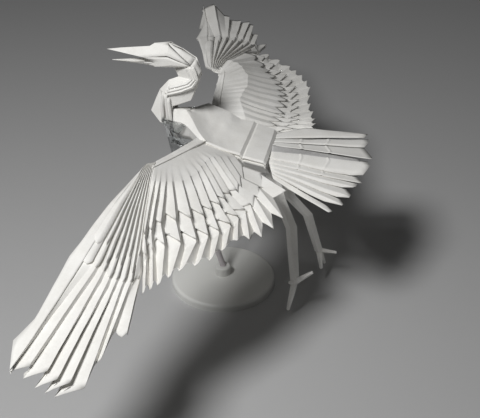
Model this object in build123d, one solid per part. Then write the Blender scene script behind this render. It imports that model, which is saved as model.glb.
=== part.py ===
"""A crane folded from one sheet of white paper, wings spread, on a small round display stand.

Frame: origin on the table under the centre of the stand, +Z up, -X the way the beak points,
-Y the side of the lower wing, +X the tail. Sizes are in millimetres.
"""

import os
from collections import namedtuple

from build123d import *

os.makedirs("parts", exist_ok=True)

# Stand: a disc with a faintly coned top and a short collar, and a thin rod that leans forward
# from it to the clear holder
BASE_DIAMETER = 80.0
BASE_EDGE_HEIGHT = 6.0
BASE_CONE_HEIGHT = 2.0
BASE_EDGE_ROUND = 2.4
COLLAR_DIAMETER = 12.0
COLLAR_HEIGHT = 7.0
COLLAR_ROUND = 1.5
ROD_DIAMETER = 4.5
ROD_LEAN = 18.0
ROD_LENGTH = 114.0
ROD_END_BEVEL = 0.5
ROD_SEAT_HEIGHT = 4.0
ROD_CLEARANCE = 0.15

# Clear holder under the neck, in the crane's own coordinates: where the end of the rod sits in it,
# its level sections as (height, front, half width there, rear, half width there), and its pocket
PERCH = (-31.65, 0, 112.42)
HOLDER = [
    (103, -34, 4.5, -22.5, 6.0),
    (118, -37, 6.0, -22.5, 9.5),
    (134, -39, 8.5, -21, 14.0),
    (142, -41.5, 10.5, -20, 15.5),
]
HOLDER_WALL = 1.6
POCKET_OVERRUN = 6.0
POCKET_FLOOR = 122.0

# Paper: the folded layers of a single feather, and what each overlapping tier adds above it
FEATHER_LAYERS = 0.7
TIER_STEP = 1.0
TIER_GAP = 1.0

# Pleats of the wing: 8 long feathers on the hand, then 14 on the arm. Pairs are (hand, arm). The
# lines below are drawn for these counts, and other counts are spread over them.
DRAWN_HAND = 8
DRAWN_WING = 22
HAND_FEATHERS = 8
WING_FEATHERS = 22
PLEAT_RISE = 4.2
RISE_AT_ROOT = (0.05, 0.05)
RISE_OPENED = (0.25, 0.75)
RISE_AT_TIER_A = (0.4, 0.8)
RISE_AT_TIER_B = (0.6, 1)
RISE_AT_BEND = (0.9, 1)
LIT_FACE = 0.76
HAND_TIP_FACE = 0.95
ARM_TIP_FACE = 0.42
TIER_SLANT = (3.0, 9.0)
MOST_CUT_BACK = 0.5
PLEAT_RUN = 0.3
TIP_BEND = 0.7
HAND_NOTCH = 5.0
ARM_NOTCH = 7.0

# Lines across the wing, each given as {feather number: point}, feather 0 at the leading edge.
# The wing is drawn as the lower one; the other is its mirror image with two turns of its own.
WING_FRONT = {0: (-28, -85, 149), 8: (-25, -79, 148), 15: (-18, -52, 143), 22: (-12, -20, 136.5)}
WING_CREASE = {0: (-31, -91, 148), 8: (-24, -88, 147), 15: (-13, -52, 140), 22: (-5, -20, 133)}
WING_ROOT = {
    0: (-37, -104, 143),
    1: (-31, -105, 146),
    8: (-22, -102, 145),
    9.8: (-17, -99, 143),
    11.8: (-11, -92, 140),
    12.8: (-6, -87, 138),
    14.8: (0, -70, 136),
    16.8: (1, -55, 135),
    17.8: (2, -48, 135),
    19: (5, -43, 134),
    20.5: (10, -35, 130.5),
    22: (15, -25, 126.5),
}
WING_TIER_A = {
    0: (-48, -164, 136),
    1: (-37, -171, 132),
    4: (-24, -177, 126),
    7: (-13, -173, 122),
    7.8: (-15, -150, 129),
    8.8: (-14, -144, 130),
    9.8: (-12, -137, 129),
    10.8: (-9, -126, 128),
    12.8: (6, -110, 123),
    13.8: (12, -102, 121),
    15.8: (19, -86, 120),
    17.8: (21, -67, 119),
    18.8: (24, -62, 120),
    19.8: (24, -55, 121),
    20.8: (23, -45, 122),
    22: (21, -29, 123),
}
WING_TIER_B = {
    0: (-51, -172, 133),
    1: (-38, -178, 130),
    4: (-24, -184, 124),
    7: (-13, -180, 120),
    7.8: (-11, -164, 120),
    8.8: (-11, -152, 121),
    9.8: (-9, -146, 121),
    10.8: (-3, -140, 122),
    12.8: (13, -125, 118),
    14.8: (23, -107, 114),
    15.8: (28, -96, 113),
    17.8: (33, -74, 112),
    18.8: (35, -67, 113),
    20.8: (36, -46, 116),
    22: (34, -28, 118),
}
WING_EDGE_WRIST = (-41, -130, 143)
WING_EDGE_BEND = (-54, -219, 124)
WING_TIPS = {
    0: (-61, -236, 120),
    1: (-57, -252, 114),
    5: (-31, -257, 105),
    5.95: (-17, -252, 104),
    6: (-14, -231, 110),
    7: (-8, -213, 114),
    8: (-5, -182, 118),
    10: (1, -171, 117),
    12: (9, -156, 118),
    14: (24, -139, 116),
    16: (33, -111, 113),
    18: (44, -93, 108),
    20: (53, -71, 110),
    22: (51, -40, 115),
}
SHOULDER = (-10, 26, 138)
WRIST = (-28, 86, 149)
FAR_ARM_AXIS = (-4, -6.4, -9.4)
FAR_ARM_TURN = 12.0
FAR_ARM_SHIFT = (-2, -1, 0)
FAR_HAND_AXIS = (14, -6.7, 18.6)
FAR_HAND_TURN = 24.0
FAR_HAND_SHIFT = (-5, -3, -4.5)
FAR_HAND_FAN = 0.38
FAR_TURN_END = 10.5
FAR_TIER_A_OUT = 0.6
FAR_TIER_B_OUT = 0.35
FAR_TIP_SHIFT = {
    0: (6, -3, -7),
    1: (-2, 3, 6),
    2: (-2, 6, 10),
    2.5: (0, 0, 1),
    3.5: (3, -2, -3),
    5: (0, -1, -2),
    5.5: (-7, -2, -1),
    7: (-4, -4, -4),
    8: (-4, -4, -5),
    9.4: (-5, -1.5, -0.6),
    10.4: (-3, 0.6, 2),
    12.4: (4, 0.8, -0.3),
    22: (2, -2, -3),
}

# Tail fan: (valley, crest) of each feather above the plain sheet, from the far edge to the near one.
# The fourth is a narrow strip along the middle.
TAIL_PLEATS = [
    (0, 1.0),
    (0, 1.4),
    (0, 2.0),
    (0.2, 1.9),
    (1.8, 2.4),
    (1.0, 2.0),
    (0.5, 2.0),
    (0.5, 2.0),
    (0.5, 2.0),
    (-1.5, 0.3),
]
TAIL_FACE = 0.86
TAIL_RISE_AT_ROOT = 0.3
TAIL_RISE_AT_BEND = 0.7
TAIL_BEND = 0.38
TAIL_FAR_BEND = (56, 34, 123)
TAIL_NEAR_BEND = (57.5, -41, 113.5)
TAIL_ROOT = {
    0: (31, 15, 124),
    3: (34, 0, 124.5),
    5: (37, -14, 122.5),
    6: (38, -19, 121.5),
    9: (42, -29, 119),
    10: (44, -34, 117.5),
}
TAIL_TIPS = {
    0: (96.7, 45.6, 117),
    0.86: (98, 38, 117),
    1: (101.6, 34.6, 118),
    1.86: (101, 22, 118),
    2: (101.2, 18.7, 119),
    2.86: (107.9, 4, 119),
    3: (99.8, 3.2, 117.5),
    3.86: (100.4, -2.2, 119),
    4: (103, -3.2, 118.5),
    4.86: (105, -14, 116.5),
    5: (100, -17.5, 115),
    5.86: (103.7, -24.5, 115),
    6: (100.6, -25.6, 115),
    6.86: (98.5, -32.3, 115),
    7: (94.4, -33, 114),
    7.86: (97.6, -43, 114),
    8: (91.9, -45, 113),
    8.86: (93.5, -52, 113),
    9: (84, -51, 112),
    9.86: (86, -59, 112),
    10: (83, -59.5, 112),
}

# Body cross-sections: (x, half width, keel, side, top edge, middle of the back). The back is a
# saddle behind the shoulders and then flat, with a pleat across it.
BODY = [
    (-36, 7, 126, 134, 141, 147),
    (-29, 11, 118, 133, 144, 148),
    (-20, 19, 112, 133, 142.5, 142.5),
    (-8, 28, 107, 132, 138.5, 136.5),
    (6, 29, 106, 129, 133, 132.5),
    (20, 29, 105, 126, 130.5, 131),
    (24, 28, 105, 124, 128.5, 129),
    (38, 26, 108, 119, 125.5, 126.5),
]
TOP_EDGE_SHARE = 0.86

# Hollow of the folded body, open below: (x, half width, side, top edge, middle) inside the paper
HOLLOW = [
    (-8, 18, 129, 134, 132.5),
    (6, 21, 126, 129.5, 128.5),
    (20, 23, 122, 126.5, 127),
    (32, 20, 119, 122.5, 123.5),
]
HOLLOW_MOUTH = 9.0
HOLLOW_MOUTH_HEIGHT = 104.0

# Neck and head, from the breast up: (front point, back point, half width, where it is widest)
NECK = [
    ((-42, 124), (-24, 134), 8.0, 0.5),
    ((-45, 136), (-35, 142), 7.5, 0.5),
    ((-52, 144), (-36, 147), 7.0, 0.55),
    ((-44, 161), (-33, 150), 6.5, 0.5),
    ((-37, 169), (-23, 154), 6.0, 0.5),
    ((-31, 172), (-16, 167), 5.5, 0.5),
    ((-30, 174), (-14, 177), 5.0, 0.5),
    ((-33, 179), (-18, 187), 5.5, 0.5),
    ((-40, 178.5), (-28, 193), 7.5, 0.55),
    ((-46, 177), (-38, 197), 8.0, 0.5),
    ((-50, 179), (-46, 196), 6.5, 0.45),
    ((-52, 182), (-50, 193), 4.5, 0.45),
]
UPPER_BEAK = [
    ((-50, 181.5), (-49, 193), 4.6, 0.4),
    ((-66, 183.3), (-66, 191), 3.0, 0.4),
    ((-82, 187.2), (-82, 188.8), 0.6, 0.5),
]
LOWER_BEAK = [
    ((-48, 177.2), (-49, 182.2), 4.2, 0.5),
    ((-66, 179.2), (-66, 183.6), 2.4, 0.5),
    ((-78, 179.6), (-78, 180.8), 0.6, 0.5),
]

# Legs and toes: (points from the top down, half widths at them)
LEG_THICKNESS = 2.0
NEAR_LEG = ([(36, -8, 114), (45, -10, 86), (55, -17, 68.5), (61.5, -33, 31)], [5, 4.2, 4.2, 3.2])
FAR_LEG = ([(40, 8, 114), (49.5, 8, 79), (63, 10, 63.5), (72, 15, 29)], [5, 4, 3.6, 3])
NEAR_TOES = [
    [(61, -33, 32), (73.6, -30, 40.6)],
    [(61, -33, 31), (57.3, -36, 8.3)],
    [(62, -33, 31), (57, -34, 32)],
]
FAR_TOES = [
    [(71, 15, 29.5), (85.3, 17, 27.7)],
    [(72, 15, 30), (75, 12, 15)],
    [(72, 15, 30), (76.4, 19, 15.5)],
]
TOE_ROOT = 2.4
TOE_TIP = 1.1


Row = namedtuple("Row", "line origin valley_back crest_back face rise lift reach")


def between(line, number):
    """Point of a line across the feathers at any feather number."""
    stops = sorted(line)
    for low, high in zip(stops, stops[1:]):
        if number <= high:
            share = (number - low) / (high - low)
            return Vector(*line[low]) * (1 - share) + Vector(*line[high]) * share
    return Vector(*line[stops[-1]])


def part_way(number, line, following, share):
    """Point between two lines across the feathers."""
    return between(line, number) * (1 - share) + between(following, number) * share


def back(point, origin, distance):
    """Point pulled back towards an origin by a distance."""
    return point + (origin - point).normalized() * distance


def plate(points):
    """Flat three-cornered face."""
    return Face(Wire.make_polygon(points, close=True))


def strip(first, second):
    """Facets between two chains of as many points."""
    faces = []
    for index in range(len(first) - 1):
        a, b = first[index], first[index + 1]
        c, d = second[index], second[index + 1]
        faces.append(plate([a, b, d]))
        faces.append(plate([a, d, c]))
    return faces


def folded_sheet(top, bottom):
    """Solid between an upper and a lower grid of points, row by row from root to tip."""
    faces = []
    for grid in (top, bottom):
        for row, following in zip(grid, grid[1:]):
            faces += strip(row, following)
    for end in (0, -1):
        faces += strip(top[end], bottom[end])
        faces += strip([row[end] for row in top], [row[end] for row in bottom])
    return Solid(Shell(faces))


def skin(rings):
    """Faceted solid through rings of as many points."""
    faces = []
    for first, second in zip(rings, rings[1:]):
        faces += strip(first + first[:1], second + second[:1])
    for ring in (rings[0], rings[-1]):
        for index in range(1, len(ring) - 1):
            faces.append(plate([ring[0], ring[index], ring[index + 1]]))
    return Solid(Shell(faces))


def fold_ring(front, rear, half_width, widest):
    """Four-cornered section of a folded neck or beak, upright in the middle plane."""
    low, high = Vector(front[0], 0, front[1]), Vector(rear[0], 0, rear[1])
    middle = low * (1 - widest) + high * widest
    side = Vector(0, half_width, 0)
    return [low, middle - side, high, middle + side]


def body_ring(x, half_width, keel, side, edge, top):
    """Six-cornered section of the body across its length."""
    edge_width = half_width * TOP_EDGE_SHARE
    return [
        Vector(x, 0, keel),
        Vector(x, -half_width, side),
        Vector(x, -edge_width, edge),
        Vector(x, 0, top),
        Vector(x, edge_width, edge),
        Vector(x, half_width, side),
    ]


def hollow_ring(x, half_width, side, edge, top):
    """Section of the hollow inside the body, with its mouth below."""
    edge_width = half_width * TOP_EDGE_SHARE
    return [
        Vector(x, -HOLLOW_MOUTH, HOLLOW_MOUTH_HEIGHT),
        Vector(x, -half_width, side),
        Vector(x, -edge_width, edge),
        Vector(x, 0, top),
        Vector(x, edge_width, edge),
        Vector(x, half_width, side),
        Vector(x, HOLLOW_MOUTH, HOLLOW_MOUTH_HEIGHT),
    ]


def limb(points, half_widths, thickness):
    """Flat folded strip along a chain of points."""
    chain = [Vector(*point) for point in points]
    rings = []
    for index, here in enumerate(chain):
        before = chain[max(index - 1, 0)]
        after = chain[min(index + 1, len(chain) - 1)]
        run = (after - before).normalized()
        across = run.cross(Vector(0, 1, 0)).normalized() * half_widths[index]
        through = run.cross(across).normalized() * thickness
        rings.append([here + across, here + through, here - across, here - through])
    return skin(rings)


def line_between(first, second, share):
    """Line across the feathers, part of the way from one line to another."""
    return {stop: part_way(stop, first, second, share) for stop in sorted({**first, **second})}


def further_out(line, following, share):
    """Line moved towards the following one on the arm, and left as it is on the hand."""
    moved = {}
    for stop in sorted({**line, **following}):
        on_arm = min(1, max(0, stop - DRAWN_HAND))
        moved[stop] = part_way(stop, line, following, share * on_arm)
    return moved


def drawn(number):
    """Place of a feather on the drawn lines."""
    if number <= HAND_FEATHERS:
        return number * DRAWN_HAND / HAND_FEATHERS
    spread = (DRAWN_WING - DRAWN_HAND) / (WING_FEATHERS - HAND_FEATHERS)
    return DRAWN_HAND + (number - HAND_FEATHERS) * spread


def wing_rows(far):
    """Rows of a wing from its front edge to the tips. Pairs are for the hand and the arm."""
    tier_a = further_out(WING_TIER_A, WING_TIER_B, FAR_TIER_A_OUT if far else 0)
    tier_b = further_out(WING_TIER_B, WING_TIPS, FAR_TIER_B_OUT if far else 0)
    lit = (LIT_FACE, LIT_FACE)
    bend_face = (LIT_FACE, (LIT_FACE + ARM_TIP_FACE) / 2)
    tip_face = (HAND_TIP_FACE, ARM_TIP_FACE)
    notch = (HAND_NOTCH, ARM_NOTCH)
    none, hem = (0, 0), (TIER_STEP, TIER_STEP)
    over = 2 * TIER_STEP
    under = (TIER_STEP + over) / 2
    lip = (-TIER_GAP, -TIER_GAP)
    slant = [cut - TIER_GAP for cut in TIER_SLANT]
    opened = line_between(WING_ROOT, tier_a, PLEAT_RUN) | {0: WING_EDGE_WRIST}
    bend = line_between(tier_b, WING_TIPS, TIP_BEND) | {0: WING_EDGE_BEND}
    return [
        Row(WING_FRONT, None, none, none, lit, none, hem, 0),
        Row(WING_CREASE, None, none, none, lit, none, hem, 0),
        Row(WING_ROOT, None, none, none, lit, RISE_AT_ROOT, (over, over), 0),
        Row(opened, None, none, none, lit, RISE_OPENED, (under, over), 0),
        Row(tier_a, WING_ROOT, TIER_SLANT, none, lit, RISE_AT_TIER_A, (under, over), 0),
        Row(tier_a, WING_ROOT, slant, lip, lit, RISE_AT_TIER_A, (under, TIER_STEP), 0),
        Row(tier_b, tier_a, TIER_SLANT, none, lit, RISE_AT_TIER_B, hem, 0),
        Row(tier_b, tier_a, slant, lip, lit, RISE_AT_TIER_B, none, 0),
        Row(bend, None, none, none, bend_face, RISE_AT_BEND, none, TIP_BEND),
        Row(WING_TIPS, tier_b, none, notch, tip_face, (1, 1), none, 1),
    ]


def wing_points(row):
    """Points of one row as (place on the drawn lines, point on the unpleated sheet, rise of the
    pleat, lift of the layers)."""
    points = []
    for column in range(2 * WING_FEATHERS + 1):
        feather, crest = divmod(column, 2)
        part = 0 if feather < HAND_FEATHERS else 1
        at = drawn(feather + row.face[part] * crest)
        point = between(row.line, at)
        if row.origin:
            pull = (row.crest_back if crest else row.valley_back)[part]
            start = between(row.origin, at)
            if not crest:
                pull *= min(1, MOST_CUT_BACK * (point - start).length / TIER_SLANT[part])
            point = back(point, start, 0 if column == 1 and pull > 0 else pull)
        points.append((at, point, row.rise[part] * PLEAT_RISE * crest, row.lift[part]))
    return points


def turned(point, centre, axis, angle):
    """Point turned about an axis through a centre."""
    centre = Vector(*centre)
    return (point - centre).rotate(Axis((0, 0, 0), axis), angle) + centre


def hand_hold(number):
    """How far a feather follows the turn of the far hand: less further in, and not on the arm."""
    on_hand = 1 - FAR_HAND_FAN * min(1, number / DRAWN_HAND)
    return on_hand * min(1, max(0, (FAR_TURN_END - number) / (FAR_TURN_END - DRAWN_HAND)))


def far_side(point, number, reach):
    """Place on the far wing of a point of the near one."""
    hold = hand_hold(number)
    point = Vector(point.X, -point.Y, point.Z)
    point = turned(point, WRIST, FAR_HAND_AXIS, FAR_HAND_TURN * hold) + Vector(*FAR_HAND_SHIFT) * hold
    point = turned(point, SHOULDER, FAR_ARM_AXIS, FAR_ARM_TURN) + Vector(*FAR_ARM_SHIFT)
    return point + between(FAR_TIP_SHIFT, number) * reach


def wing(far):
    """One wing: a pleated sheet in three overlapping tiers."""
    top, bottom = [], []
    for row in wing_rows(far):
        high, low = [], []
        for number, point, rise, lift in wing_points(row):
            upper = point + Vector(0, 0, rise + lift)
            lower = point + Vector(0, 0, rise - FEATHER_LAYERS)
            if far:
                upper, lower = (far_side(place, number, row.reach) for place in (upper, lower))
            high.append(upper)
            low.append(lower)
        top.append(high)
        bottom.append(low)
    return folded_sheet(top, bottom)


def tail():
    """Tail fan: one pleated sheet."""
    top, bottom = [], []
    bend = line_between(TAIL_ROOT, TAIL_TIPS, TAIL_BEND)
    bend = bend | {0: TAIL_FAR_BEND, len(TAIL_PLEATS): TAIL_NEAR_BEND}
    for line, rise in ((TAIL_ROOT, TAIL_RISE_AT_ROOT), (bend, TAIL_RISE_AT_BEND), (TAIL_TIPS, 1)):
        middle = []
        for feather, (valley, crest) in enumerate(TAIL_PLEATS):
            middle.append(between(line, feather) + Vector(0, 0, valley * rise))
            middle.append(between(line, feather + TAIL_FACE) + Vector(0, 0, crest * rise))
        middle.append(between(line, len(TAIL_PLEATS)))
        half = Vector(0, 0, FEATHER_LAYERS)
        top.append([point + half for point in middle])
        bottom.append([point - half for point in middle])
    return folded_sheet(top, bottom)


def rod_axis():
    """Foot and direction of the leaning rod."""
    lean = Vector(0, 0, 1).rotate(Axis.Y, -ROD_LEAN)
    collar_top = BASE_EDGE_HEIGHT + BASE_CONE_HEIGHT + COLLAR_HEIGHT
    foot = Vector(0, 0, collar_top) - lean * ((collar_top - ROD_SEAT_HEIGHT) / lean.Z)
    return foot, lean


def rod(diameter, length, bevel):
    """Round bar along the rod's line, from its seat in the stand."""
    foot, lean = rod_axis()
    bar = Cylinder(diameter / 2, length, align=(Align.CENTER, Align.CENTER, Align.MIN))
    if bevel:
        bar = chamfer(bar.edges().filter_by(GeomType.CIRCLE), bevel)
    return Plane(origin=foot, z_dir=lean) * bar


def stand_base():
    """Disc with its collar, turned about the upright axis, and the slanting hole for the rod."""
    radius = BASE_DIAMETER / 2
    crown = BASE_EDGE_HEIGHT + BASE_CONE_HEIGHT
    outline = make_face(Polyline((0, 0), (radius, 0), (radius, BASE_EDGE_HEIGHT), (0, crown), close=True))
    rim = outline.vertices().group_by(Axis.X)[-1].sort_by(Axis.Y)[-1]
    disc = revolve(Plane.XZ * fillet(rim, BASE_EDGE_ROUND), Axis.Z)
    standing = (Align.CENTER, Align.CENTER, Align.MIN)
    collar = Cylinder(COLLAR_DIAMETER / 2, crown + COLLAR_HEIGHT, align=standing)
    collar = fillet(collar.edges().sort_by(Axis.Z)[-1], COLLAR_ROUND)
    return disc + collar - rod(ROD_DIAMETER + 2 * ROD_CLEARANCE, ROD_LENGTH, 0)


def perched():
    """Place of the crane and its holder over the stand."""
    foot, lean = rod_axis()
    return Pos(foot + lean * ROD_LENGTH - Vector(*PERCH))


def trough(sections, margin, overrun):
    """Solid through level four-cornered sections, drawn in by a margin and run on at the rear."""
    rings = []
    for height, front, front_width, rear, rear_width in sections:
        front, rear = front + margin, rear + overrun
        near, far = front_width - margin, rear_width - margin
        corners = [(front, -near), (rear, -far), (rear, far), (front, near)]
        rings.append([Vector(x, y, height) for x, y in corners])
    return skin(rings)


def stand_holder():
    """Clear cradle that grips the root of the neck, open to the rear, with a socket for the rod."""
    upper = [section for section in HOLDER if section[0] > POCKET_FLOOR]
    lower = HOLDER[len(HOLDER) - len(upper) - 1]
    share = (POCKET_FLOOR - lower[0]) / (upper[0][0] - lower[0])
    floor = tuple(a + (b - a) * share for a, b in zip(lower, upper[0]))
    pocket = trough([floor] + upper, HOLDER_WALL, POCKET_OVERRUN)
    body = skin([body_ring(*ring) for ring in BODY])
    neck = skin([fold_ring(*ring) for ring in NECK])
    holder = trough(HOLDER, 0, 0) - pocket - body - neck
    return perched() * holder - rod(ROD_DIAMETER + 2 * ROD_CLEARANCE, ROD_LENGTH, 0)


def folded_crane():
    """The whole sheet as one solid: wings, tail, body, neck, head and legs, hollow under the back."""
    body = skin([body_ring(*ring) for ring in BODY])
    folds = [wing(False), wing(True), tail()]
    for rings in (NECK, UPPER_BEAK, LOWER_BEAK):
        folds.append(skin([fold_ring(*ring) for ring in rings]))
    for leg, toes in ((NEAR_LEG, NEAR_TOES), (FAR_LEG, FAR_TOES)):
        folds.append(limb(*leg, LEG_THICKNESS))
        for toe in toes:
            folds.append(limb(toe, [TOE_ROOT, TOE_TIP], TOE_TIP))
    hollow = skin([hollow_ring(*ring) for ring in HOLLOW])
    return perched() * (body.fuse(*folds) - hollow)


export_step(folded_crane(), "parts/folded_crane.step")
export_step(stand_holder(), "parts/stand_holder.step")
export_step(rod(ROD_DIAMETER, ROD_LENGTH, ROD_END_BEVEL), "parts/stand_rod.step")
export_step(stand_base(), "parts/stand_base.step")
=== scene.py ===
"""A crane folded from one sheet of white paper, wings spread, on a small round display stand.

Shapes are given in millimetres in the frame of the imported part: origin on the table under the
stand, +Z up, -X the way the beak points, -Y the side of the lower wing.
"""

import math

import bmesh
import bpy
from mathutils import Matrix, Vector, noise


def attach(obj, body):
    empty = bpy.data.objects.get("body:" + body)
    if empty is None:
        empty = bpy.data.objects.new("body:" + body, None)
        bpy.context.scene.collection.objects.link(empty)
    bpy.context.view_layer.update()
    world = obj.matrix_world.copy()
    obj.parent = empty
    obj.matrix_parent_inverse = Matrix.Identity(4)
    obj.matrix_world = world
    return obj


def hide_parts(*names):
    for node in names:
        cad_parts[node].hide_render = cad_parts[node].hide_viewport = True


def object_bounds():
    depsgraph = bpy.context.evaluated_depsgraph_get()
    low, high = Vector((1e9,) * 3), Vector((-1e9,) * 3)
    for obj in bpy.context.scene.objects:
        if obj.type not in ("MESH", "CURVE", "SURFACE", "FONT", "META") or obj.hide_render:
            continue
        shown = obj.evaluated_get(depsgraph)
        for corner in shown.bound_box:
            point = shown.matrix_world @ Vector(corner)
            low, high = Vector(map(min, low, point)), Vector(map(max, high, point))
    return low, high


MM = 0.001
UP = Vector((0, 0, 1))

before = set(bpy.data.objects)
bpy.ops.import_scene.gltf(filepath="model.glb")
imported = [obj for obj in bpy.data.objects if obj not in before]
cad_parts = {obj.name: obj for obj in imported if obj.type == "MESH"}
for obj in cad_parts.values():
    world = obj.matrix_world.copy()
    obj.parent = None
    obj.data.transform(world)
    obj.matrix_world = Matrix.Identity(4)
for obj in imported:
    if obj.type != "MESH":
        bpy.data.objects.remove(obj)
loaded_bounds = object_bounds()
scene = bpy.context.scene

# Paper: its thickness, how uneven it lies by hand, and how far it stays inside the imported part's box.
# A fold sharper than the crease angle, in degrees, reads as a crease. The body's folds are softer.
# Points closer than a hair become one. With its seed the paper lies in the same way each time.
PAPER_THICKNESS = 0.35
CREASE_ANGLE = 12.0
SOFT_CREASE = 26.0
RIPPLE = 0.25
RIPPLE_LENGTH = 17.0
DENT = 0.07
DENT_LENGTH = 5.0
ROOM = 0.3
HAIR = 0.02
PAPER_SEED = 7
noise.seed_set(PAPER_SEED)

# Feathers of the wing: 8 long ones on the hand, then 14 on the arm, numbered from the leading edge.
# A part of a number lies that part of the way across a feather, which is one pleat: its lit face goes
# up to the crest, slightly bellied, and its riser down to the next valley. The hand's last feather
# ends just short of the arm.
HAND_FEATHERS = 8
WING_FEATHERS = 22
HAND_END = 7.9
LIT_FACE = 0.76
RISER_MIDDLE = 0.88
PLEAT_COLUMNS = (0, LIT_FACE / 3, 2 * LIT_FACE / 3, LIT_FACE, RISER_MIDDLE)
PLEAT_RISE = 4.2
BELLY = 0.05

# The sheets lie a step apart, with a lip at their ends, and closer together towards the body
TIER_STEP = 1.15
TIER_LIP = 0.8
LAYERS_APART = {0: 1, 16: 1, 19: 0.5, 22: 0.42}

# Stations along a feather: the lines given below, and between them where the pleats of the cover
# start, where they have opened, and where the leading edge bends.
FRONT, CREASE, ROOT, START, OPENED, TIER_A, TIER_B, BEND, TIPS = 0, 1, 2, 2.07, 2.3, 3, 4, 4.7, 5

# Lines across the wing at those stations, each given as {feather number: point}. The wing is drawn as
# the lower one.
WING_FRONT = {0: (-28, -85, 149), 8: (-25, -79, 148), 15: (-18, -52, 143), 22: (-12, -20, 136.5)}
WING_CREASE = {0: (-31, -91, 148), 8: (-24, -88, 147), 15: (-13, -52, 140), 22: (-5, -20, 133)}
WING_ROOT = {
    0: (-37, -104, 143),
    1: (-31, -105, 146),
    8: (-22, -102, 145),
    9.8: (-17, -99, 143),
    11.8: (-11, -92, 140),
    12.8: (-6, -87, 138),
    14.8: (0, -70, 136),
    16.8: (1, -55, 135),
    17.8: (2, -48, 135),
    19: (5, -43, 134),
    20.5: (10, -35, 130.5),
    22: (15, -25, 126.5),
}
WING_TIER_A = {
    0: (-48, -164, 136),
    1: (-37, -171, 132),
    4: (-24, -177, 126),
    7: (-13, -173, 122),
    7.8: (-15, -150, 129),
    8.8: (-14, -144, 130),
    9.8: (-12, -137, 129),
    10.8: (-9, -126, 128),
    12.8: (6, -110, 123),
    13.8: (12, -102, 121),
    15.8: (19, -86, 120),
    17.8: (21, -67, 119),
    18.8: (24, -62, 120),
    19.8: (24, -55, 121),
    20.8: (23, -45, 122),
    22: (21, -29, 123),
}
WING_TIER_B = {
    0: (-51, -172, 133),
    1: (-38, -178, 130),
    4: (-24, -184, 124),
    7: (-13, -180, 120),
    7.8: (-11, -164, 120),
    8.8: (-11, -152, 121),
    9.8: (-9, -146, 121),
    10.8: (-3, -140, 122),
    12.8: (13, -125, 118),
    14.8: (23, -107, 114),
    15.8: (28, -96, 113),
    17.8: (33, -74, 112),
    18.8: (35, -67, 113),
    20.8: (36, -46, 116),
    22: (34, -28, 118),
}
WING_TIPS = {
    0: (-61, -235, 120),
    1: (-57, -252, 114),
    2: (-49, -253, 111.5),
    3: (-41.5, -256, 109),
    4: (-36, -256.5, 107),
    5: (-31, -256.5, 105),
    6: (-17, -230, 108),
    7: (-13.6, -207, 112),
    7.9: (-6, -208, 112),
    8: (-5, -182, 118),
    10: (1, -171, 117),
    12: (9, -156, 118),
    14: (24, -139, 116),
    16: (33, -111, 113),
    18: (44, -93, 108),
    20: (53, -71, 110),
    22: (51, -40, 115),
}

# Two points where the leading edge stands off these lines: at the wrist, and where it bends
WING_EDGE_WRIST = (-41, -130, 143)
WING_EDGE_BEND = (-54, -219, 124)

# Height of the pleats along a feather, as parts of the full rise. On the arm the feet of the pleats
# also sink in behind the plain cover. The first feather is a flatter panel, and the far arm is flatter.
COVER_PLAIN_TO = 1.55
HAND_HEIGHT = {
    FRONT: 0, CREASE: 0.05, ROOT: 0.1, OPENED: 0.2,
    TIER_A: 0.28, TIER_B: 0.42, BEND: 0.85, TIPS: 1,
}
ARM_HEIGHT = {
    FRONT: 0, COVER_PLAIN_TO: 0.01, ROOT: 0.13, START: 0.38,
    OPENED: 0.75, TIER_A: 0.85, TIER_B: 1, TIPS: 1,
}
FAR_ARM_HEIGHT = {FRONT: 0, CREASE: 0.05, ROOT: 0.5, OPENED: 0.75, TIER_A: 0.85, TIER_B: 1, TIPS: 1}
ARM_SINK = {FRONT: 0, ROOT: 0, START: -0.3, OPENED: -0.8, TIER_A: -0.9, TIER_B: -0.4, TIPS: 0}
FAR_PLEATS = 0.5
PANEL_RISE = 0.45

# Towards the body the pleats fade, by feather, and the slant of the tiers' ends turns the other way
FADE = {15.5: 1, 18: 0.7, 20: 0.4, 22: 0.3}
SLANT_SHARE = {16: 1, 18: 0.4, 19.5: -0.4, 22: -0.6}
TIER_A_SLANT = 10.0
TIER_B_SLANT = 13.0

# Ends of the arm feathers: how far across the feather its crest ends, and how far that end is pulled
# back from the line of the tips, both by feather. A length under 0 reaches past the line. On the far
# wing all the feathers are alike.
ARM_TIP_FACE = {8: 0.42, 13: 0.42, 16: 0.3, 18: 0.2, 20: 0.08, 21: 0.7}
ARM_TIP_CUT = {8: 1, 14: 1, 16: -3, 18: -8, 20: -8.5, 22: -2}
FAR_TIP_FACE = 0.42
FAR_TIP_CUT = 1.0

# Crest ends of the long feathers, which reach over the next feather or two
HAND_CRESTS = [
    (-55.5, -254, 116.5), (-47.4, -248, 116), (-37.4, -248, 114.5), (-31, -251, 112.5),
    (-24.4, -250, 110.5), (-17.1, -248.9, 107), (-14.2, -229.5, 111), (-6.1, -209.5, 113),
]

# How far a feather's end is cut back at each column of its pleat. From one feather of the arm on, over
# a few feathers, the outer shape goes over into the inner one. The last long feather of the near wing
# is a blade of its own.
ARM_TIP_SHAPE = (3.5, 1.6, 0.0, 1.5, 6.0)
INNER_TIP_SHAPE = (6.0, 4.0, 2.0, 0.0, 4.0)
INNER_TIPS_FROM = 13
INNER_TIPS_OVER = 4
HAND_TIP_SHAPE = (0.0, 0.0, 0.0, 0.0, 6.0)
BLADE_SHAPE = (0.5, -1.6, -2.4, 1.5, 2.0)

# The end of a tier at each column, as parts of its slant, and the most of a sheet's last stretch that
# a cut may take
TIER_END_SHAPE = (1, 1 - 1 / 3, 1 - 2 / 3, 0, 0.4)
MOST_CUT_BACK = 0.8

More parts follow.
